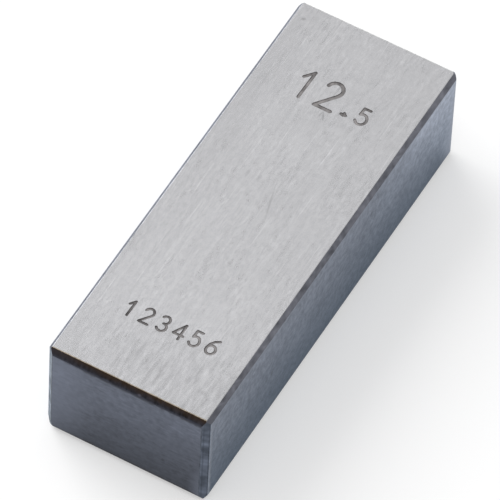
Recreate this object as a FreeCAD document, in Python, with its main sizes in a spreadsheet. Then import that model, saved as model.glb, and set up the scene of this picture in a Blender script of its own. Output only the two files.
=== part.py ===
"""Gauge block, metric, nominal length 12.5 mm.

One piece of hardened steel: a plain rectangular block, ground on its two sides and two ends and
lapped on its two measuring faces. All twelve edges are broken by a small flat, which can take more
off one of its two faces than off the other, and at each corner three of these flats cross.

Frame: +X runs across the block, from one measuring face to the other. +Y runs along it. +Z points
up, out of the marked side. The origin is the middle of the side that the block rests on.
"""
import FreeCAD, Part
import os
import Sketcher

NODE = "gauge_block"
TOLERANCE = 1e-4       # millimetres
LEAST_WASTE = 0.25     # share of the four full prisms: earlier cuts have already had their ends

# The driving sizes in millimetres, each with its meaning. The spreadsheet holds them.
SIZES = (
    ("gauge_length", 12.5, "X, between the two measuring faces"),
    ("face_length", 35.0, "Y, long side of a measuring face"),
    ("face_depth", 9.0, "Z, short side of a measuring face"),
    ("long_break_on_side", 0.28, "long edges, width that the flat takes off a side"),
    ("long_break_on_face", 0.42, "long edges, width that the flat takes off a measuring face"),
    ("end_break_on_side", 0.30, "end edges, width that the flat takes off a side"),
    ("end_break_on_end", 0.50, "end edges, width that the flat takes off an end"),
    ("upright_break_on_end", 0.48, "upright edges, width that the flat takes off an end"),
    ("upright_break_on_face", 0.48, "upright edges, width that the flat takes off a measuring face"),
)

# How a sketch constraint names the two ends of a line, and the sketch's own origin.
START, END = 1, 2
SKETCH_ORIGIN = (-1, 1)

# The four corners of a section, as signs along the sketch's two axes, in order round it.
CORNERS = ((1, 1), (-1, 1), (-1, -1), (1, -1))


def make_sheet(doc):
    """The spreadsheet of driving sizes, each value under its own alias."""
    sheet = doc.addObject("Spreadsheet::Sheet", "sizes")
    for row, (alias, value, meaning) in enumerate(SIZES, start=1):
        sheet.set(f"A{row}", alias)
        sheet.set(f"B{row}", str(value))
        sheet.set(f"C{row}", meaning)
        sheet.setAlias(f"B{row}", alias)
    doc.recompute()
    return sheet


def sketch_on(body, role, name):
    """A new sketch on one of the body's own origin planes."""
    plane = next(item for item in body.Origin.OriginFeatures if item.Role == role)
    sketch = body.newObject("Sketcher::SketchObject", name)
    sketch.AttachmentSupport = [(plane, "")]
    sketch.MapMode = "FlatFace"
    return sketch


def add_loop(sketch, points):
    """A closed loop of straight lines through the points. Returns the number of its first line."""
    first = sketch.GeometryCount
    following = points[1:] + points[:1]
    for here, there in zip(points, following):
        sketch.addGeometry(Part.LineSegment(FreeCAD.Vector(*here), FreeCAD.Vector(*there)))
    lines = range(first, first + len(points))
    for line in lines:
        after = line + 1 if line < lines[-1] else first
        sketch.addConstraint(Sketcher.Constraint("Coincident", line, END, after, START))
    return first


def drive(sketch, direction, low, high, expression):
    """Drives the distance along X or Y, from the lower point to the higher one, from the sheet."""
    constraint = Sketcher.Constraint("Distance" + direction, *low, *high, 1.0)
    index = sketch.addConstraint(constraint)
    sketch.setExpression(f"Constraints[{index}]", expression)


def draw_section(sketch, width, height):
    """A rectangle about the sketch's origin, as wide and as high as the two aliases say."""
    upper = add_loop(sketch, [(x, y, 0) for x, y in CORNERS])
    left, lower, right = upper + 1, upper + 2, upper + 3
    for line in (upper, lower):
        sketch.addConstraint(Sketcher.Constraint("Horizontal", line))
    for line in (left, right):
        sketch.addConstraint(Sketcher.Constraint("Vertical", line))
    opposite = (upper, START, lower, START)
    sketch.addConstraint(Sketcher.Constraint("Symmetric", *opposite, *SKETCH_ORIGIN))
    drive(sketch, "X", (upper, END), (upper, START), f"sizes.{width}")
    drive(sketch, "Y", (right, START), (right, END), f"sizes.{height}")


def draw_waste(sketch, width, height, across, up):
    """The waste that a broken edge leaves behind, at the four corners of a width by height section.

    Each is a triangle with its square corner on the section's corner. Its legs are the widths
    that the flat takes off the two faces, across and up, and its long side is the flat.
    """
    for x_sign, y_sign in CORNERS:
        # Only the order of these points matters: the distances below put them in their places.
        corner = (2 * x_sign, 2 * y_sign, 0)
        across_end = (x_sign, 2 * y_sign, 0)
        up_end = (2 * x_sign, y_sign, 0)
        across_leg = add_loop(sketch, [corner, across_end, up_end])
        up_leg = across_leg + 2
        sketch.addConstraint(Sketcher.Constraint("Horizontal", across_leg))
        sketch.addConstraint(Sketcher.Constraint("Vertical", up_leg))
        tip = (across_leg, START)
        spans = (
            ("X", x_sign, SKETCH_ORIGIN, f"sizes.{width} / 2"),
            ("Y", y_sign, SKETCH_ORIGIN, f"sizes.{height} / 2"),
            ("X", x_sign, (across_leg, END), f"sizes.{across}"),
            ("Y", y_sign, (up_leg, START), f"sizes.{up}"),
        )
        for direction, sign, inner, expression in spans:
            low, high = (inner, tip) if sign > 0 else (tip, inner)
            drive(sketch, direction, low, high, expression)


def grind_edges(body, sheet, name, role, section, along, breaks):
    """Cuts the flats on the four edges that run along one axis, square to the plane of that role."""
    sketch = sketch_on(body, role, name + "_sketch")
    draw_waste(sketch, *section, *breaks)
    blank = body.Tip
    cut = body.newObject("PartDesign::Pocket", name)
    cut.Profile = sketch
    cut.Type = "ThroughAll"
    cut.SideType = "Symmetric"
    body.Document.recompute()

    across, up = (sheet.get(alias) for alias in breaks)
    prisms = len(CORNERS) * across * up / 2 * sheet.get(along)
    removed = blank.Shape.Volume - cut.Shape.Volume
    if removed < LEAST_WASTE * prisms:
        raise RuntimeError(f"{name} took {removed} mm3 off, out of {prisms}")


def make_block(doc, sheet):
    """The block, modelled about its own middle and then stood on its lower side."""
    body = doc.addObject("PartDesign::Body", NODE)
    body.Label = NODE

    section = sketch_on(body, "XZ_Plane", "section")
    draw_section(section, "gauge_length", "face_depth")
    blank = body.newObject("PartDesign::Pad", "blank")
    blank.Profile = section
    blank.SideType = "Symmetric"
    blank.setExpression("Length", "sizes.face_length")
    doc.recompute()

    grind_edges(body, sheet, "long_edges", "XZ_Plane", ("gauge_length", "face_depth"),
                "face_length", ("long_break_on_side", "long_break_on_face"))
    grind_edges(body, sheet, "end_edges", "YZ_Plane", ("face_length", "face_depth"),
                "gauge_length", ("end_break_on_side", "end_break_on_end"))
    grind_edges(body, sheet, "upright_edges", "XY_Plane", ("gauge_length", "face_length"),
                "face_depth", ("upright_break_on_end", "upright_break_on_face"))

    body.setExpression("Placement.Base.z", "sizes.face_depth / 2")
    doc.recompute()
    return body


def check(doc, sheet, body):
    """Stops if anything in the document failed, or if the block isn't the size that it should be."""
    for item in doc.Objects:
        if "Invalid" in item.State or "Error" in item.State:
            raise RuntimeError(f"{item.Name} is {item.State}")
    shape = body.Shape
    if shape.isNull() or not shape.isValid() or len(shape.Solids) != 1:
        raise RuntimeError(f"{body.Label} is not one valid solid")
    box = shape.BoundBox
    measured = (box.XLength, box.YLength, box.ZLength, box.ZMin)
    wanted = (sheet.gauge_length, sheet.face_length, sheet.face_depth, 0)
    for got, want in zip(measured, wanted):
        if abs(got - want) > TOLERANCE:
            raise RuntimeError(f"{body.Label} measures {measured}, not {wanted}")


document = FreeCAD.newDocument("gauge_block_model")
size_sheet = make_sheet(document)
block = make_block(document, size_sheet)
check(document, size_sheet, block)
os.makedirs("parts", exist_ok=True)
block.Shape.exportStep(f"parts/{block.Label}.step")
print(f"{block.Label}: volume {block.Shape.Volume:.3f} mm3, {len(block.Shape.Faces)} faces")
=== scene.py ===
import math

import bmesh
import bpy
from mathutils import Matrix, Vector


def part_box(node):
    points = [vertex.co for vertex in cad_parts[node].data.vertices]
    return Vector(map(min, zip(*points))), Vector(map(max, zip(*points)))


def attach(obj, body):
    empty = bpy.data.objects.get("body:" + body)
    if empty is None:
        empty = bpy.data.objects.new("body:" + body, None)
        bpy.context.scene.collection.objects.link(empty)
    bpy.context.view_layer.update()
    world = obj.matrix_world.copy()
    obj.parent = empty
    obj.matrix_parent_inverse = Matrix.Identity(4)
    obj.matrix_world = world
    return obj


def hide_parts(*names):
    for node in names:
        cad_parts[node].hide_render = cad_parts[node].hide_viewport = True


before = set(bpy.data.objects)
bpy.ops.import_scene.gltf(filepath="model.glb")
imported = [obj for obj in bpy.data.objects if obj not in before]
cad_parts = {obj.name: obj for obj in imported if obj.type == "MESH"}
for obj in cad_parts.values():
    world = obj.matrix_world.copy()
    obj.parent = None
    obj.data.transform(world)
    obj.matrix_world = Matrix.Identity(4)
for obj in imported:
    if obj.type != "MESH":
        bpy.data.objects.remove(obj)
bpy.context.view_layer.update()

MM = 0.001
NODE = "gauge_block"
low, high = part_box(NODE)
WHITE = (1, 1, 1, 1)

# ---------------------------------------------------------------- small helpers


def mm(*sizes):
    """Sizes in millimetres, as a tuple in metres."""
    return tuple(size * MM for size in sizes)


def add_object(name, mesh):
    """Puts a finished mesh in the scene as an object at the origin."""
    piece = bpy.data.objects.new(name, mesh)
    bpy.context.scene.collection.objects.link(piece)
    return piece


def place_node(tree, kind, **inputs):
    """Adds a shader node; each named input is set, or linked where it is a socket."""
    node = tree.nodes.new(kind)
    for name, value in inputs.items():
        feed(tree, value, node.inputs[name.replace("_", " ")])
    return node


def feed(tree, value, socket):
    """Links a socket to another, or sets it to a plain value."""
    if isinstance(value, bpy.types.NodeSocket):
        tree.links.new(value, socket)
    else:
        socket.default_value = value


def calculate(tree, operation, first, second=0.0):
    """One step of arithmetic between two values."""
    node = tree.nodes.new("ShaderNodeMath")
    node.operation = operation
    feed(tree, first, node.inputs[0])
    feed(tree, second, node.inputs[1])
    return node.outputs[0]


def vector_math(tree, operation, first, second=(0.0, 0.0, 0.0)):
    """One step of arithmetic between two vectors."""
    node = tree.nodes.new("ShaderNodeVectorMath")
    node.operation = operation
    feed(tree, first, node.inputs[0])
    if operation != "ABSOLUTE":
        feed(tree, second, node.inputs[1])
    return node.outputs["Vector"]


def fade(tree, value, start, end, out_start=0.0, out_end=1.0):
    """A smooth change from one level to another as a value goes from start to end."""
    node = tree.nodes.new("ShaderNodeMapRange")
    node.interpolation_type = "SMOOTHSTEP"
    for socket, level in zip(node.inputs, (value, start, end, out_start, out_end)):
        feed(tree, level, socket)
    return node.outputs["Result"]


def blend_colour(tree, amount, first, second):
    """A colour between two others."""
    node = tree.nodes.new("ShaderNodeMix")
    node.data_type = "RGBA"
    feed(tree, amount, node.inputs["Factor"])
    feed(tree, first, node.inputs["A"])
    feed(tree, second, node.inputs["B"])
    return node.outputs["Result"]


def lift_colour(tree, amount, colour, gain):
    """Makes a colour lighter by a gain, as far as the amount says."""
    node = tree.nodes.new("ShaderNodeMix")
    node.data_type = "RGBA"
    node.blend_type = "MULTIPLY"
    feed(tree, amount, node.inputs["Factor"])
    feed(tree, colour, node.inputs["A"])
    feed(tree, (gain, gain, gain, 1.0), node.inputs["B"])
    return node.outputs["Result"]


def noise(tree, vector, scale, detail=2.0, roughness=0.5, distortion=0.0):
    """Cloudy noise with cells of about one over the scale."""
    node = place_node(tree, "ShaderNodeTexNoise", Vector=vector, Scale=scale, Detail=detail,
                      Roughness=roughness, Distortion=distortion)
    return node.outputs["Fac"]


def stretch(tree, vector, scale, turn=(0.0, 0.0, 0.0)):
    """Turns a pattern and scales it differently along each axis."""
    node = place_node(tree, "ShaderNodeMapping", Vector=vector, Rotation=turn, Scale=scale)
    return node.outputs["Vector"]


def new_group(name, inputs, outputs):
    """An empty shader group with named sockets, and its two end nodes."""
    group = bpy.data.node_groups.new(name, "ShaderNodeTree")
    for label, kind, default in inputs:
        socket = group.interface.new_socket(
            name=label, in_out="INPUT", socket_type="NodeSocket" + kind)
        socket.default_value = default
    for label in outputs:
        group.interface.new_socket(
            name=label, in_out="OUTPUT", socket_type="NodeSocketFloat")
    start = group.nodes.new("NodeGroupInput").outputs
    end = group.nodes.new("NodeGroupOutput").inputs
    return group, start, end


def use_group(tree, group, **inputs):
    """Places a shader group in a material with its own values."""
    node = tree.nodes.new("ShaderNodeGroup")
    node.node_tree = group
    for name, value in inputs.items():
        feed(tree, value, node.inputs[name.replace("_", " ")])
    return node.outputs


# ---------------------------------------------------------------- finishes that several materials share


def make_ground_grain():
    """Marks that a grinding wheel leaves. X runs across them and Y along them, in metres."""
    group, start, end = new_group(
        "ground_grain",
        [("Vector", "Vector", (0, 0, 0)), ("Streaks", "Float", 1.0), ("Bands", "Float", 1.0),
         ("Mottle", "Float", 1.0), ("Clouds", "Float", 1.0), ("Scratches", "Float", 1.0),
         ("Flecks", "Float", 0.0)],
        ["Tone", "Height"])
    vector = start["Vector"]

    def lines_along(counts, degrees, detail, roughness=0.5):
        """Noise with so many cells to the metre along X, Y and Z, turned a little about Z."""
        turned = stretch(group, vector, counts, (0, 0, math.radians(degrees)))
        return noise(group, turned, 1.0, detail, roughness)

    streaks = lines_along((6000, 1700, 2000), 0, 2.0)
    slanted = lines_along((4600, 1400, 2000), 6, 1.0)
    patches = lines_along((900, 380, 500), 0, 2.0)
    bands = lines_along((3200, 260, 500), 0, 1.0)
    mottle = noise(group, vector, 2600.0, 2.0, 0.5)
    clouds = noise(group, vector, 300.0, 2.0, 0.5)
    scratches = fade(group, lines_along((5200, 170, 900), -3, 1.0, 0.4), 0.66, 0.76)
    flecks = fade(group, lines_along((4000, 800, 900), -5, 0.0), 0.62, 0.85)
    both = calculate(group, "ADD", streaks, slanted)
    unevenness = fade(group, patches, 0.3, 0.7, 0.4, 1.6)
    uneven = calculate(group, "MULTIPLY", calculate(group, "SUBTRACT", both, 1.0), unevenness)
    tone = calculate(group, "ADD", 0.5, calculate(group, "MULTIPLY", uneven, start["Streaks"]))
    for pattern, amount, middle in (
            (bands, "Bands", 0.5), (mottle, "Mottle", 0.5), (clouds, "Clouds", 0.5),
            (scratches, "Scratches", 0.0)):
        change = calculate(group, "SUBTRACT", pattern, middle)
        tone = calculate(group, "ADD", tone, calculate(group, "MULTIPLY", change, start[amount]))
    tone = calculate(group, "SUBTRACT", tone, calculate(group, "MULTIPLY", flecks, start["Flecks"]))
    feed(group, tone, end["Tone"])
    height = calculate(group, "SUBTRACT", both, scratches)
    feed(group, height, end["Height"])
    return group


def make_placed_mark():
    """One soft-edged spot or scratch: where it is, how it is turned, and its size."""
    group, start, end = new_group(
        "placed_mark",
        [("Vector", "Vector", (0, 0, 0)), ("Place", "Vector", (0, 0, 0)),
         ("Turn", "Vector", (0, 0, 0)), ("Size", "Vector", (1, 1, 1)), ("Strength", "Float", 1.0)],
        ["Mask"])
    local = group.nodes.new("ShaderNodeMapping")
    local.vector_type = "TEXTURE"
    feed(group, start["Vector"], local.inputs["Vector"])
    feed(group, start["Place"], local.inputs["Location"])
    feed(group, start["Turn"], local.inputs["Rotation"])
    feed(group, start["Size"], local.inputs["Scale"])
    length = group.nodes.new("ShaderNodeVectorMath")
    length.operation = "LENGTH"
    feed(group, local.outputs["Vector"], length.inputs[0])
    mask = fade(group, length.outputs["Value"], 1.0, 0.2)
    feed(group, calculate(group, "MULTIPLY", mask, start["Strength"]), end["Mask"])
    return group


def make_scuffed_patch():
    """Coarse streaks along Y that are strongest at one place and die out round it."""
    group, start, end = new_group(
        "scuffed_patch",
        [("Vector", "Vector", (0, 0, 0)), ("Place", "Vector", (0, 0, 0)),
         ("Size", "Vector", (1, 1, 1)), ("Strength", "Float", 1.0)],
        ["Tone"])
    patch = use_group(group, PLACED_MARK, Vector=start["Vector"], Place=start["Place"],
                      Size=start["Size"], Strength=start["Strength"])
    turned = stretch(group, start["Vector"], (3000, 640, 900), (0, 0, math.radians(3)))
    streaks = noise(group, turned, 1.0, 2.0, 0.5)
    change = calculate(group, "SUBTRACT", streaks, 0.5)
    feed(group, calculate(group, "MULTIPLY", change, patch["Mask"]), end["Tone"])
    return group


def make_pits():
    """Scattered small pits and specks, a few to each square of the scale."""
    group, start, end = new_group(
        "pits",
        [("Vector", "Vector", (0, 0, 0)), ("Scale", "Float", 500.0), ("Share", "Float", 0.2),
         ("Size", "Float", 0.1)],
        ["Mask"])
    cells = place_node(group, "ShaderNodeTexVoronoi", Vector=start["Vector"], Scale=start["Scale"])
    parts = place_node(group, "ShaderNodeSeparateColor", Color=cells.outputs["Color"])
    chosen = calculate(group, "LESS_THAN", parts.outputs["Red"], start["Share"])
    spread = calculate(group, "ADD", parts.outputs["Green"], 0.3)
    reach = calculate(group, "MULTIPLY", start["Size"], spread)
    near = fade(group, calculate(group, "DIVIDE", cells.outputs["Distance"], reach), 1.0, 0.5)
    feed(group, calculate(group, "MULTIPLY", chosen, near), end["Mask"])
    return group


def make_painted_bottom_shade():
    """Painted shade that darkens a wall towards its bottom, where the block stands, over a ragged
    reach.
    """
    group, start, end = new_group(
        "painted_bottom_shade",
        [("Vector", "Vector", (0, 0, 0)), ("Reach", "Float", 0.002), ("Strength", "Float", 0.3)],
        ["Mask"])
    parts = place_node(group, "ShaderNodeSeparateXYZ", Vector=start["Vector"])
    ragged = noise(group, stretch(group, start["Vector"], (500, 500, 900)), 1.0, 2.0, 0.5)
    wander = calculate(group, "MULTIPLY", calculate(group, "SUBTRACT", ragged, 0.5), 0.4)
    reach = calculate(group, "MULTIPLY", start["Reach"], calculate(group, "ADD", wander, 1.0))
    height = calculate(group, "DIVIDE", parts.outputs["Z"], reach)
    mask = calculate(group, "MAXIMUM", calculate(group, "SUBTRACT", 1.0, height), 0.0)
    feed(group, calculate(group, "MULTIPLY", mask, start["Strength"]), end["Mask"])
    return group


def make_face_border():
    """Where a face is close to its edges: its middle, half its size, and the border's reach."""
    group, start, end = new_group(
        "face_border",
        [("Vector", "Vector", (0, 0, 0)), ("Middle", "Vector", (0, 0, 0)),
         ("Half", "Vector", (1, 1, 1)), ("Reach", "Float", 0.0002), ("Ragged", "Float", 0.5)],
        ["Mask"])
    local = vector_math(group, "SUBTRACT", start["Vector"], start["Middle"])
    inside = vector_math(group, "SUBTRACT", start["Half"], vector_math(group, "ABSOLUTE", local))
    parts = place_node(group, "ShaderNodeSeparateXYZ", Vector=inside).outputs
    sideways = calculate(group, "MINIMUM", parts["X"], parts["Y"])
    nearest = calculate(group, "MINIMUM", sideways, parts["Z"])
    wander = calculate(group, "SUBTRACT", noise(group, start["Vector"], 1900.0, 2.0, 0.5), 0.5)
    ragged = calculate(group, "MULTIPLY", start["Ragged"], start["Reach"])
    wander = calculate(group, "MULTIPLY", wander, ragged)
    nearest = calculate(group, "ADD", nearest, calculate(group, "MULTIPLY", wander, 4.0))
    feed(group, fade(group, nearest, start["Reach"], 0.0), end["Mask"])
    return group


GROUND_GRAIN = make_ground_grain()
PLACED_MARK = make_placed_mark()
SCUFFED_PATCH = make_scuffed_patch()
PITS = make_pits()
PAINTED_BOTTOM_SHADE = make_painted_bottom_shade()
FACE_BORDER = make_face_border()


# ---------------------------------------------------------------- materials


def new_material(name, metallic, roughness):
    """A metal material with its plain values set on the shader itself."""
    material = bpy.data.materials.new(name)
    material.use_nodes = True
    tree = material.node_tree
    shader = tree.nodes["Principled BSDF"]
    shader.inputs["Metallic"].default_value = metallic
    shader.inputs["Roughness"].default_value = roughness
    place = tree.nodes.new("ShaderNodeTexCoord").outputs["Object"]
    return material, tree, shader, place


def dent(tree, shader, height, strength, distance):
    """Gives the surface fine relief."""
    bump = place_node(tree, "ShaderNodeBump", Height=height, Strength=strength, Distance=distance)
    feed(tree, bump.outputs["Normal"], shader.inputs["Normal"])


def shade(colour, factor):
    """A colour made darker or lighter, kept within white."""
    return tuple(min(1.0, channel * factor) for channel in colour) + (1.0,)


def add_marks(tree, place, marks, tone, colour):
    """Darkens or lightens a tone at each placed mark."""
    for centre, turn, size, strength, level in marks:
        mask = use_group(tree, PLACED_MARK, Vector=place, Place=centre, Turn=turn, Size=size,
                         Strength=strength)
        tone = blend_colour(tree, mask["Mask"], tone, shade(colour, level))
    return tone


PIT_CELLS = 900.0
PIT_SHARE = 0.06
PIT_SIZE = 0.16
PIT_STRENGTH = 0.2
PIT_LEVEL = 0.35
RELIEF_DEPTH = 0.002 * MM


def ground_steel(name, colour, roughness, turn=(0, 0, 0), coarse=1.0, contrast=0.35, relief=0.3,
                 painted_shade=0.0, painted_shade_reach=9 * MM, painted_shade_level=(0.1, 0.1, 0.1), grazing=(1, 1, 1),
                 painted_reflections=(), borders=(), scuffs=(), marks=(), **amounts):
    """Steel with a ground finish, its grain turned to run along the face.

    Scuffs are placed blemishes, and marks are placed blemishes and some broad zones of painted light or
    shade.
    Borders follow a face's edges with a tint, on some faces painted shade or a painted highlight. The
    lighter zones are painted reflections, and the darkening towards the bottom is painted shade.
    """
    material, tree, shader, place = new_material(name, 1.0, roughness)
    shader.inputs["Specular Tint"].default_value = grazing + (1.0,)
    along = stretch(tree, place, (1.0 / coarse, 1.0 / coarse, 1.0 / coarse), turn)
    grain = use_group(tree, GROUND_GRAIN, Vector=along, **amounts)
    level = grain["Tone"]
    for centre, size, strength in scuffs:
        scuffed = use_group(tree, SCUFFED_PATCH, Vector=place, Place=centre, Size=size,
                            Strength=strength)
        level = calculate(tree, "ADD", level, scuffed["Tone"])
    tone = blend_colour(tree, level, shade(colour, 1 - contrast), shade(colour, 1 + contrast))
    pits = use_group(tree, PITS, Vector=place, Scale=PIT_CELLS, Share=PIT_SHARE, Size=PIT_SIZE)
    pitted = calculate(tree, "MULTIPLY", pits["Mask"], PIT_STRENGTH)
    tone = blend_colour(tree, pitted, tone, shade(colour, PIT_LEVEL))
    # painted reflections: lighter zones where the face would mirror lit floor
    for centre, size, gain in painted_reflections:
        zone = use_group(tree, PLACED_MARK, Vector=place, Place=centre, Size=size)
        tone = lift_colour(tree, zone["Mask"], tone, gain)
    # painted shade: the metal darkens towards the bottom of the wall, near the floor
    if painted_shade:
        painted_shade_mask = use_group(tree, PAINTED_BOTTOM_SHADE, Vector=place, Reach=painted_shade_reach, Strength=painted_shade)
        painted_shade_colour = tuple(channel * share for channel, share in zip(colour, painted_shade_level)) + (1.0,)
        tone = blend_colour(tree, painted_shade_mask["Mask"], tone, painted_shade_colour)
    for middle, half, reach, ragged, tint, strength in borders:
        near = use_group(tree, FACE_BORDER, Vector=place, Middle=middle, Half=half, Reach=reach,
                         Ragged=ragged)
        tinted = calculate(tree, "MULTIPLY", near["Mask"], strength)
        tone = blend_colour(tree, tinted, tone, tint + (1.0,))
    tone = add_marks(tree, place, marks, tone, colour)
    feed(tree, tone, shader.inputs["Base Color"])
    rough = fade(tree, grain["Tone"], 0.0, 1.0, roughness * 1.15, roughness * 0.85)
    feed(tree, rough, shader.inputs["Roughness"])
    dent(tree, shader, grain["Height"], relief, RELIEF_DEPTH)
    return material


QUARTER = math.radians(90)
NO_TURN = (0, 0, 0)
FAR = 1000  # a border that reaches this far leaves that direction out
# near-black painted shade, for the edges of the front and back faces
PAINTED_EDGE_SHADE = (0.022, 0.021, 0.024)
EDGE_GRAIN = {"Streaks": 0.8, "Bands": 0.5, "Mottle": 1.2, "Clouds": 0.8, "Scratches": 0.1}

# A border is a middle, half a size, reach, raggedness, tint and strength. A scuff is a centre,
# size and strength, and a lighter zone of painted reflection a centre, size and gain. A mark is a
# centre, turn, size, strength and level, where a level under one is dark and over one is light.

ground_side = ground_steel(
    "ground_side", (0.434, 0.434, 0.446), 0.25, contrast=0.25,
    Streaks=0.52, Bands=0.62, Mottle=0.45, Clouds=0.3, Scratches=0.35, Flecks=0.12,
    scuffs=[(mm(2.5, -16.5, 9.0), mm(11, 8, 1), 1.6)],
    borders=[(mm(0, 5, 0), mm(FAR, 22.2, FAR), 0.12 * MM, 0.3, (0.33, 0.27, 0.20), 0.7)],
    marks=[# a pit at the far left, three scratches below the size, two smudges near the near end
           (mm(-5.25, 15.9, 9.0), (0, 0, 0.5), mm(0.24, 0.18, 1), 0.4, 0.3),
           (mm(0.10, 9.15, 9.0), (0, 0, 0.45), mm(0.10, 0.55, 1), 0.35, 0.3),
           (mm(-0.15, 9.25, 9.0), (0, 0, -0.15), mm(0.08, 0.50, 1), 0.25, 0.3),
           (mm(-0.55, 9.20, 9.0), (0, 0, 0.2), mm(0.07, 0.40, 1), 0.15, 0.3),
           (mm(4.65, -15.3, 9.0), (0, 0, 0.3), mm(0.35, 0.3, 1), 0.25, 0.3),
           (mm(3.25, -14.9, 9.0), NO_TURN, mm(0.25, 0.4, 1), 0.2, 0.3),
           # a long slanted scratch with two short ones, then two broad zones of painted shade, at the
           # left side and at the near end
           (mm(0.65, 0.75, 9.0), (0, 0, 0.27), mm(0.12, 1.9, 1), 0.22, 0.3),
           (mm(-1.95, 2.3, 9.0), NO_TURN, mm(0.14, 0.7, 1), 0.2, 0.3),
           (mm(-1.05, 2.3, 9.0), NO_TURN, mm(0.16, 0.5, 1), 0.2, 0.3),
           (mm(-6.6, 0, 9.0), NO_TURN, mm(4.5, 40, 1), 0.2, 0.7),
           (mm(0, -18.5, 9.0), NO_TURN, mm(16, 9, 1), 0.3, 0.7)])
# The front and back faces: their dark blue-grey, far darker than the top's steel, is partly painted
# shade, and they darken towards the bottom with painted shade.
ground_end = ground_steel(
    "ground_end", (0.104, 0.117, 0.152), 0.32, turn=(QUARTER, 0, QUARTER), painted_shade=0.62, painted_shade_reach=7 * MM,
    Streaks=0.5, Bands=0.4, Mottle=0.8, Clouds=0.3, Scratches=0.05,
    # darker along its top and bottom edges: painted shade
    borders=[(mm(0, 0, 4.5), mm(FAR, FAR, 3.97), 0.20 * MM, 0.5, PAINTED_EDGE_SHADE, 0.7)],
    marks=[(mm(2.95, -17.5, 2.7), NO_TURN, mm(0.2, 1, 0.2), 0.6, 0.3),
           # a lighter zone at the left and one at the right bottom corner: painted reflections of lit
           # floor
           (mm(-6.5, -17.5, 5.0), NO_TURN, mm(4.5, 1, 9), 0.5, 1.5),
           (mm(6.3, -17.5, 1.0), NO_TURN, mm(1.6, 1, 3.5), 0.6, 1.5)])
# The measuring faces: their blue-grey, darker and bluer than the top's steel, is partly painted shade,
# and they darken towards the bottom with painted shade.
lapped_face = ground_steel(
    "lapped_face", (0.345, 0.382, 0.461), 0.24, relief=0.15,
    painted_shade=0.70, painted_shade_reach=8 * MM, painted_shade_level=(0.19, 0.31, 0.39), grazing=(0.5, 0.5, 0.5),
    # painted reflection: lighter towards the far end, where the face would mirror lit floor beyond the
    # block
    painted_reflections=[(mm(6.25, 17.5, 9.0), mm(1, 16, 17), 1.37)],
    Streaks=0.25, Bands=0.35, Mottle=1.3, Clouds=0.4, Scratches=0.0,
    # a lighter rim along its top edge and both ends: painted highlight
    borders=[(NO_TURN, mm(FAR, 17.02, 8.6), 0.40 * MM, 0.3, (0.42, 0.46, 0.53), 0.7)],
    marks=[(mm(6.25, -8.55, 4.4), NO_TURN, mm(1, 0.25, 0.3), 0.5, 0.3),
           (mm(6.25, -9.4, 7.1), NO_TURN, mm(1, 0.2, 0.2), 0.4, 0.3),
           (mm(6.25, -11.2, 7.5), (0.5, 0, 0), mm(1, 0.3, 0.12), 0.6, 1.6),
           # lighter at the far end's bottom: painted reflection of lit floor beyond the block
           (mm(6.25, 17.4, 0.5), NO_TURN, mm(1, 2.5, 7), 0.6, 1.35)])
# The slanted flats at the ends: their near-black is painted shade, a dark copy of the steel.
end_flat = ground_steel(
    "end_flat", (0.0245, 0.0235, 0.0285), 0.35, contrast=0.6, **EDGE_GRAIN,
    borders=[(mm(0, 0, 4.5), mm(FAR, FAR, 4.5), 0.42 * MM, 0.2, (0.036, 0.0225, 0.013), 0.8),
             (mm(0, 0, 13), mm(FAR, FAR, 4.5), 0.14 * MM, 0.4, (0.06, 0.066, 0.088), 0.6)],
    marks=[(mm(-5.9, -17.35, 8.75), NO_TURN, mm(3.0, 1, 1), 0.5, 1.5),
           (mm(0.95, -17.45, 8.62), NO_TURN, mm(0.22, 1, 0.12), 0.6, 4.0)])
# The slanted flats along the sides: their dark grey is painted shade, a darker copy of the steel.
long_flat = ground_steel(
    "long_flat", (0.123, 0.126, 0.145), 0.35, turn=(0, 0, 0.3), coarse=1.5, contrast=0.45,
    grazing=(0.82, 0.85, 0.93), Streaks=0.6, Bands=0.6, Mottle=1.2, Clouds=0.5, Scratches=0.3,
    marks=[(mm(6.1, -17.4, 8.8), NO_TURN, mm(1, 3.5, 1), 0.45, 0.5)])
# The upright corner flats: their dark blue-grey is painted shade, a darker copy of the steel.
upright_flat = ground_steel(
    "upright_flat", (0.104, 0.119, 0.155), 0.35, turn=(QUARTER, QUARTER / 2, QUARTER - 0.6),
    coarse=3.0, contrast=0.4, grazing=(0.88, 0.95, 1.0),
    Streaks=1.5, Bands=0.8, Mottle=2.0, Clouds=0.3, Scratches=-0.4,
    # two dark lines along its edges are painted shade
    marks=[(mm(5.90, -17.37, 4.5), NO_TURN, mm(0.09, 0.09, 9), 0.4, 0.3),
           (mm(6.20, -17.07, 4.5), NO_TURN, mm(0.09, 0.09, 9), 0.6, 0.3),
           (mm(6.0, -17.25, 8.7), NO_TURN, mm(1, 1, 1.4), 0.5, 0.6)])
near_edge = ground_steel(
    "brown_edge", (0.27, 0.225, 0.17), 0.30, contrast=0.5,
    **EDGE_GRAIN)
# The far top edge: its near-white is a painted highlight, lighter than the steel.
far_edge_highlight = ground_steel(
    "painted_highlight_edge", (0.75, 0.75, 0.75), 0.30, contrast=0.3,
    **EDGE_GRAIN)
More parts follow.
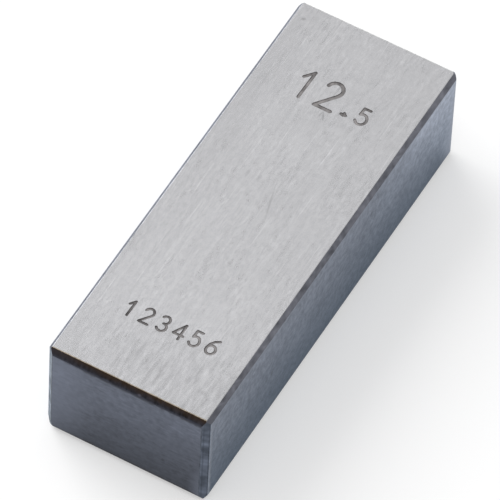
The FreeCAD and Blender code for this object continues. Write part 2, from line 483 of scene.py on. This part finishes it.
# The left top edge: rougher with wear, and darker than the right one as painted shade against the
# lamp's highlight.
worn_and_shaded_edge = ground_steel(
    "worn_and_shaded_edge", (0.26, 0.265, 0.285), 0.35, contrast=0.3,
    **EDGE_GRAIN)
face_edge = ground_steel(
    "lapped_edge", (0.20, 0.23, 0.285), 0.30, contrast=0.3,
    **EDGE_GRAIN)
shaded_edge = ground_steel(
    "shaded_edge", (0.075, 0.086, 0.108), 0.35, contrast=0.4,
    Streaks=0.8, Bands=0.5, Mottle=1.5, Clouds=0.8, Scratches=0.1)
mark_floor = ground_steel(
    "mark_floor", (0.165, 0.157, 0.157), 0.55, contrast=0.5, coarse=1.4,
    Streaks=0.8, Bands=0.3, Mottle=1.6, Clouds=1.2, Scratches=0.0)
# the cut's walls are darker than its floor: painted shade in the groove, over the etching's own dark
# tone
mark_wall = ground_steel(
    "mark_wall", (0.090, 0.083, 0.084), 0.55, contrast=0.55, coarse=1.4,
    Streaks=0.3, Bands=0.3, Mottle=1.6, Clouds=1.2, Scratches=0.0)

FINISHES = [ground_side, ground_end, lapped_face, end_flat, long_flat, upright_flat, near_edge,
            far_edge_highlight, worn_and_shaded_edge, face_edge, shaded_edge, mark_floor, mark_wall]


# ---------------------------------------------------------------- engraved size and number


def arc(cx, cy, rx, ry, start, end, step):
    """Points along an elliptical arc, from one angle to another, in degrees."""
    count = max(2, round(abs(end - start) / step))
    angles = [math.radians(start + (end - start) * i / count) for i in range(count + 1)]
    return [(cx + rx * math.cos(a), cy + ry * math.sin(a)) for a in angles]


STEP = 24  # degrees of arc to one straight cut

# Each numeral is one or more strokes of a round-nosed tool, in a cell one unit high.
NUMERALS = {
    "1": [[(0.06, 0.72), (0.29, 1.0), (0.27, 0.0)]],
    "2": [arc(0.28, 0.75, 0.24, 0.25, 168, -35, STEP) + [(0.01, 0.0), (0.53, 0.0)]],
    "3": [arc(0.27, 0.75, 0.23, 0.25, 150, -90, STEP), arc(0.27, 0.26, 0.27, 0.26, 85, -150, STEP)],
    "4": [[(0.42, 0.0), (0.42, 1.0), (0.0, 0.28), (0.58, 0.28)]],
    "5": [[(0.45, 1.0), (0.11, 1.0), (0.08, 0.58)] + arc(0.26, 0.33, 0.28, 0.33, 125, -150, STEP)],
    "6": [arc(0.29, 0.29, 0.26, 0.29, 0, 360, STEP), arc(0.66, 0.30, 0.63, 0.70, 105, 180, STEP)],
    ".": [[(-0.5, 0.0), (0.45, 0.0)], [(0.0, -0.15), (0.05, 0.4)]],
}
FLOOR, WALL = 0, 1
CLEAR = 0.02 * MM
TOOL_SIDES = 10
DOWNWARD = -0.99
ENGRAVING_DEPTH = 0.04 * MM

# The nominal size: numeral, left from the block's left side, base from its far end, height
# and stroke, in millimetres.
SIZE_MARK = [("1", 3.37, 7.73, 2.43, 0.25), ("2", 5.25, 7.73, 2.43, 0.29),
             (".", 7.46, 7.50, 0.34, 0.26), ("5", 8.32, 7.70, 1.43, 0.22)]
# The row of plain numerals, measured in the same way.
ROW = "123456"
ROW_LEFT, ROW_PITCH, ROW_BASE, ROW_HEIGHT, ROW_STROKE = 2.9, 1.25, 29.85, 1.30, 0.20


def cut_between(tool, start, end, stroke):
    """Adds the hull of a tapered round tool at two neighbouring points of a stroke."""
    ends = []
    for x, y in (start, end):
        for rise in (-ENGRAVING_DEPTH, CLEAR):
            ring = bmesh.ops.create_circle(tool, segments=TOOL_SIDES, radius=stroke / 2 + rise,
                                           matrix=Matrix.Translation((x, y, high.z + rise)))
            ends += ring["verts"]
    for edge in dict.fromkeys(edge for vert in ends for edge in vert.link_edges):
        tool.edges.remove(edge)
    hull = bmesh.ops.convex_hull(tool, input=ends)
    for face in (item for item in hull["geom"] if isinstance(item, bmesh.types.BMFace)):
        face.normal_update()
        face.material_index = FLOOR if face.normal.z < DOWNWARD else WALL
    left_over = dict.fromkeys(hull["geom_interior"] + hull["geom_unused"])
    loose = [item for item in left_over if isinstance(item, bmesh.types.BMVert)]
    bmesh.ops.delete(tool, geom=loose, context="VERTS")


def engrave(tool, numeral, left, base, height, stroke):
    """Adds the tool's sweep along every stroke of a numeral."""
    for points in NUMERALS[numeral]:
        path = [(left + x * height, base + y * height) for x, y in points]
        for start, end in zip(path, path[1:]):
            cut_between(tool, start, end, stroke)


def make_engraving_tool():
    """The nominal size near the far end, and a row of plain numerals near the near end."""
    tool = bmesh.new()
    row = [(numeral, ROW_LEFT + ROW_PITCH * place, ROW_BASE, ROW_HEIGHT, ROW_STROKE)
           for place, numeral in enumerate(ROW)]
    for numeral, left, base, height, stroke in SIZE_MARK + row:
        engrave(tool, numeral, low.x + left * MM, high.y - base * MM, height * MM, stroke * MM)
    bmesh.ops.recalc_face_normals(tool, faces=tool.faces)
    mesh = bpy.data.meshes.new("engraving_tool")
    tool.to_mesh(mesh)
    tool.free()
    mesh.materials.append(mark_floor)
    mesh.materials.append(mark_wall)
    return add_object("engraving_tool", mesh)


# ---------------------------------------------------------------- the block

HARDLY, MOSTLY, NEARLY = 0.1, 0.7, 0.8  # how far a direction leans one way
LEANS = 0.2


def finish_of(normal):
    """Which finish a flat of the block has, from the way it faces."""
    x, y, z = (abs(part) > LEANS for part in normal)
    if x and z:
        return long_flat
    if y and z:
        return end_flat
    if x and y:
        return upright_flat
    if x:
        return lapped_face
    return ground_end if y else ground_side


def edge_finish_of(normal):
    """Which finish a rounded edge has, from the way it faces."""
    x, y, z = (abs(part) for part in normal)
    # the far top edge gets a painted highlight
    if z > MOSTLY and y > x:
        return far_edge_highlight if normal.y > 0 else near_edge
    # the left top edge is darker than the right one: painted shade
    if z > NEARLY:
        return ground_side if normal.x > 0 else worn_and_shaded_edge
    if z < HARDLY:
        return face_edge if x > y else shaded_edge
    return long_flat if x > MOSTLY and z > y else finish_of(normal)


# Corners that are rounded more than the rest: side, end, level, and how far in, in millimetres.
WORN_CORNERS = [(-1, 1, 1, 0.66), (1, 1, 1, 0.66), (1, 1, -1, 0.70), (-1, 1, -1, 0.80),
                (-1, -1, -1, 0.80)]
CORNER_RADIUS = 0.7 * MM
CORNER_SLOPE = 0.75
FACET_TILT = math.radians(22)
FACETS = 6
EDGE_ROUNDING = 0.04 * MM
SAME_POINT = 1e-7
SAME_PLANE = math.radians(2)
SHARP = math.radians(25)
SORTING = Vector((1.0, 0.37, 0.113))  # a slanted direction, in which no two places draw level


def along_sorting(edge):
    return (edge.verts[0].co + edge.verts[1].co).dot(SORTING)


def slice_off(body, point, outward):
    """Cuts away all that lies beyond a plane and closes the cut, in the same order each run."""
    everything = body.verts[:] + body.edges[:] + body.faces[:]
    cut = bmesh.ops.bisect_plane(body, geom=everything, plane_co=point, plane_no=outward,
                                 clear_outer=True)
    rim = [item for item in cut["geom_cut"] if isinstance(item, bmesh.types.BMEdge)]
    filled = bmesh.ops.edgeloop_fill(body, edges=sorted(rim, key=along_sorting))
    for face in filled["faces"]:
        face.material_index = FINISHES.index(finish_of(outward))
    body.verts.sort(key=lambda vert: vert.co.dot(SORTING))
    body.edges.sort(key=along_sorting)
    body.faces.sort(key=lambda face: face.calc_center_median().dot(SORTING))


def wear_corner(body, side, end, level, depth):
    """Rounds a corner with flats that all touch one ball inside it."""
    outward = Vector((side, end, level * CORNER_SLOPE)).normalized()
    corner = Vector((high.x * side, high.y * end, high.z if level > 0 else low.z))
    middle = corner - outward * (depth * MM * abs(outward.x) + CORNER_RADIUS)
    slice_off(body, middle + outward * CORNER_RADIUS, outward)
    tilted = Matrix.Rotation(FACET_TILT, 3, outward.orthogonal()) @ outward
    for step in range(FACETS):
        facing = Matrix.Rotation(math.radians(360 / FACETS * step), 3, outward) @ tilted
        slice_off(body, middle + facing * CORNER_RADIUS, facing)


def cut_numerals(block):
    """Takes the engraving tool's sweep out of the block for good."""
    tool = make_engraving_tool()
    cut = block.modifiers.new("engraving", "BOOLEAN")
    cut.operation = "DIFFERENCE"
    cut.object = tool
    cut.solver = "EXACT"
    cut.use_self = True
    cut.material_mode = "TRANSFER"
    bpy.context.view_layer.update()
    scene_now = bpy.context.evaluated_depsgraph_get()
    block.data = bpy.data.meshes.new_from_object(block.evaluated_get(scene_now))
    block.modifiers.clear()
    bpy.data.objects.remove(tool)


def make_block():
    """The block with its edges lightly rounded and its numerals cut in."""
    body = bmesh.new()
    body.from_mesh(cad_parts[NODE].data)
    bmesh.ops.remove_doubles(body, verts=body.verts, dist=SAME_POINT)
    bmesh.ops.dissolve_limit(body, angle_limit=SAME_PLANE, verts=body.verts, edges=body.edges)
    body.normal_update()
    for face in body.faces:
        face.material_index = FINISHES.index(finish_of(face.normal))
    sharp = [edge for edge in body.edges if edge.calc_face_angle(0.0) > SHARP]
    rounded = bmesh.ops.bevel(body, geom=sharp, offset=EDGE_ROUNDING, offset_type="OFFSET",
                              affect="EDGES", segments=3, profile=0.5, material=-1,
                              clamp_overlap=True)
    body.normal_update()
    for face in rounded["faces"]:
        face.material_index = FINISHES.index(edge_finish_of(face.normal))
    for side, end, level, depth in WORN_CORNERS:
        wear_corner(body, side, end, level, depth)
    mesh = bpy.data.meshes.new("block")
    body.to_mesh(mesh)
    body.free()
    for finish in FINISHES:
        mesh.materials.append(finish)
    block = add_object("block", mesh)
    cut_numerals(block)
    return block


block = make_block()
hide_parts(NODE)
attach(block, "root")


# ---------------------------------------------------------------- floor, light and camera

FLOOR_HALF = 1.5
PAPER = (0.95, 0.95, 0.95, 1)
PAPER_GLOW = 0.4
DOME = 0.75
AIM = Vector((-0.105, -0.347, 4.5)) * MM
AZIMUTH = math.radians(27.097)
ELEVATION = math.radians(53.172)
ROLL = math.radians(3.099)
DISTANCE = 554.69 * MM
LENS = 584.67
SENSOR = 36.0


def seen_or_mirrored(tree):
    """Is one for what the camera sees, by itself or in metal or glass."""
    rays = tree.nodes.new("ShaderNodeLightPath").outputs
    seen = calculate(tree, "MAXIMUM", rays["Is Camera Ray"], rays["Is Glossy Ray"])
    return calculate(tree, "MAXIMUM", seen, rays["Is Transmission Ray"])


def make_floor():
    """A sheet of white paper, with a glow that is only seen and lights nothing."""
    mesh = bpy.data.meshes.new("floor")
    sheet = bmesh.new()
    bmesh.ops.create_grid(sheet, x_segments=1, y_segments=1, size=FLOOR_HALF)
    sheet.to_mesh(mesh)
    sheet.free()
    paper = bpy.data.materials.new("white_paper")
    paper.use_nodes = True
    tree = paper.node_tree
    shader = tree.nodes["Principled BSDF"]
    shader.inputs["Base Color"].default_value = PAPER
    shader.inputs["Roughness"].default_value = 1.0
    shader.inputs["Specular IOR Level"].default_value = 0.0
    glow = place_node(tree, "ShaderNodeEmission", Color=WHITE, Strength=1.0)
    both = tree.nodes.new("ShaderNodeMixShader")
    feed(tree, calculate(tree, "MULTIPLY", seen_or_mirrored(tree), PAPER_GLOW), both.inputs["Fac"])
    feed(tree, shader.outputs[0], both.inputs[1])
    feed(tree, glow.outputs[0], both.inputs[2])
    feed(tree, both.outputs[0], tree.nodes["Material Output"].inputs["Surface"])
    mesh.materials.append(paper)
    floor = add_object("floor", mesh)


def make_world():
    """Even light from all round, which is plain white where it is seen or mirrored."""
    world = bpy.data.worlds.new("studio")
    bpy.context.scene.world = world
    world.use_nodes = True
    tree = world.node_tree
    dome = tree.nodes["Background"]
    dome.inputs["Color"].default_value = WHITE
    dome.inputs["Strength"].default_value = DOME
    white = place_node(tree, "ShaderNodeBackground", Color=WHITE, Strength=1.0)
    both = tree.nodes.new("ShaderNodeMixShader")
    feed(tree, seen_or_mirrored(tree), both.inputs["Fac"])
    feed(tree, dome.outputs[0], both.inputs[1])
    feed(tree, white.outputs[0], both.inputs[2])
    feed(tree, both.outputs[0], tree.nodes["World Output"].inputs["Surface"])


def make_lamp(name, direction, distance, width, power):
    """A square soft box that faces the block."""
    lamp = bpy.data.lights.new(name, "AREA")
    lamp.shape = "SQUARE"
    lamp.size = width
    lamp.energy = power
    holder = bpy.data.objects.new(name, lamp)
    way = Vector(direction).normalized()
    facing = way.to_track_quat("Z", "Y").to_matrix().to_4x4()
    holder.matrix_world = Matrix.Translation(way * distance) @ facing
    bpy.context.scene.collection.objects.link(holder)


def make_camera():
    """A long lens that looks down on the near right corner."""
    level = math.cos(ELEVATION)
    back = Vector((math.sin(AZIMUTH) * level, -math.cos(AZIMUTH) * level, math.sin(ELEVATION)))
    side = Vector((math.cos(AZIMUTH), math.sin(AZIMUTH), 0.0))
    up = back.cross(side)
    right = side * math.cos(ROLL) + up * math.sin(ROLL)
    top = up * math.cos(ROLL) - side * math.sin(ROLL)
    lens = bpy.data.cameras.new("camera")
    lens.lens = LENS
    lens.sensor_width = SENSOR
    lens.clip_start = 0.01
    camera = bpy.data.objects.new("camera", lens)
    turned = Matrix((right, top, back)).transposed().to_4x4()
    camera.matrix_world = Matrix.Translation(AIM + back * DISTANCE) @ turned
    bpy.context.scene.collection.objects.link(camera)
    bpy.context.scene.camera = camera


make_floor()
make_world()
make_lamp("soft_box", direction=(-0.85, 0.20, 0.65), distance=1.6, width=1.5, power=24)
make_camera()
bpy.context.scene.view_settings.view_transform = "Standard"
